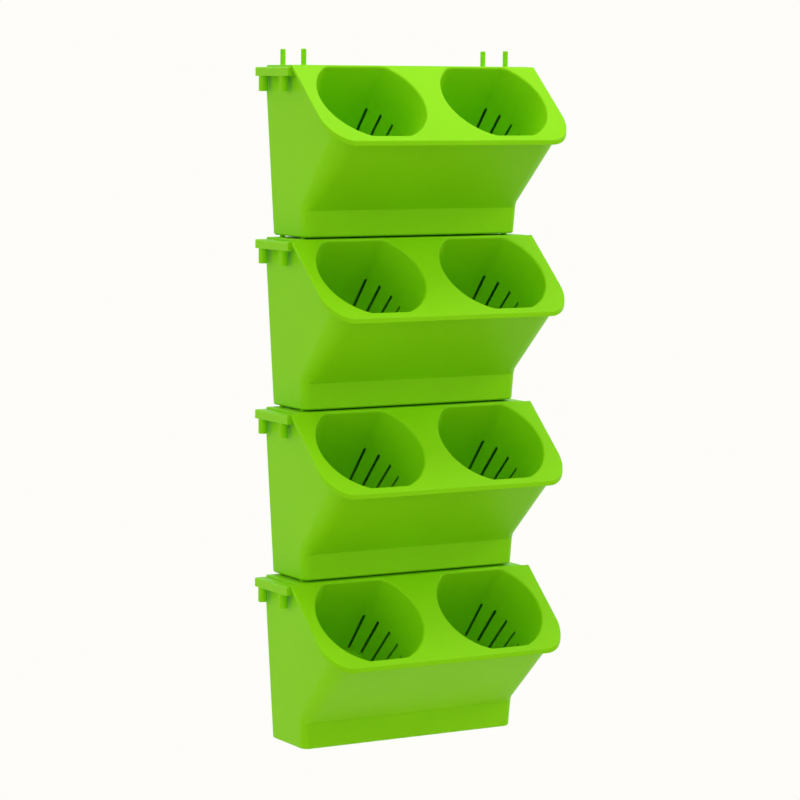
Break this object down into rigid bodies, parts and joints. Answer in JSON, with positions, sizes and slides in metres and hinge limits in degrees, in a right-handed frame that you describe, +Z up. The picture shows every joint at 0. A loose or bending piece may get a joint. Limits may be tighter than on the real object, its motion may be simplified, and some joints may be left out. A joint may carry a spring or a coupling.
{
  "type": "stackable wall planter",
  "caption": "Column of stackable wall planter modules: reservoir troughs with drop-in sloping lids whose slotted cups hold plants, pins that carry the next module, side pegs that couple columns",
  "frame": {"origin": "centre of the lowest trough's four wall screw holes, on the back plane", "axes": "+Z up, +Y into the wall, +X to the right as seen from the front"},
  "size_m": [0.2929, 0.1518, 0.6998],
  "materials": {
    "lime_polypropylene": "satin moulded polypropylene"
  },
  "bodies": {
    "trough_1": {"reservoir_trough_1": "lime_polypropylene"},
    "lid_1": {"planting_lid_1": "lime_polypropylene", "stacking_pins_1": "lime_polypropylene"},
    "trough_2": {"reservoir_trough_2": "lime_polypropylene"},
    "lid_2": {"planting_lid_2": "lime_polypropylene", "stacking_pins_2": "lime_polypropylene"},
    "trough_3": {"reservoir_trough_3": "lime_polypropylene"},
    "lid_3": {"planting_lid_3": "lime_polypropylene", "stacking_pins_3": "lime_polypropylene"},
    "trough_4": {"reservoir_trough_4": "lime_polypropylene"},
    "lid_4": {"planting_lid_4": "lime_polypropylene", "stacking_pins_4": "lime_polypropylene"}
  },
  "joints": [
    {"name": "lid_lift_1", "type": "slide", "parent": "trough_1", "child": "lid_1", "axis": [0, 0, 1], "range_m": [0, 0.13]},
    {"name": "module_lift_2", "type": "slide", "parent": "lid_1", "child": "trough_2", "axis": [0, 0, 1], "range_m": [0, 0.03]},
    {"name": "lid_lift_2", "type": "slide", "parent": "trough_2", "child": "lid_2", "axis": [0, 0, 1], "range_m": [0, 0.13]},
    {"name": "module_lift_3", "type": "slide", "parent": "lid_2", "child": "trough_3", "axis": [0, 0, 1], "range_m": [0, 0.03]},
    {"name": "lid_lift_3", "type": "slide", "parent": "trough_3", "child": "lid_3", "axis": [0, 0, 1], "range_m": [0, 0.13]},
    {"name": "module_lift_4", "type": "slide", "parent": "lid_3", "child": "trough_4", "axis": [0, 0, 1], "range_m": [0, 0.03]},
    {"name": "lid_lift_4", "type": "slide", "parent": "trough_4", "child": "lid_4", "axis": [0, 0, 1], "range_m": [0, 0.13]}
  ]
}
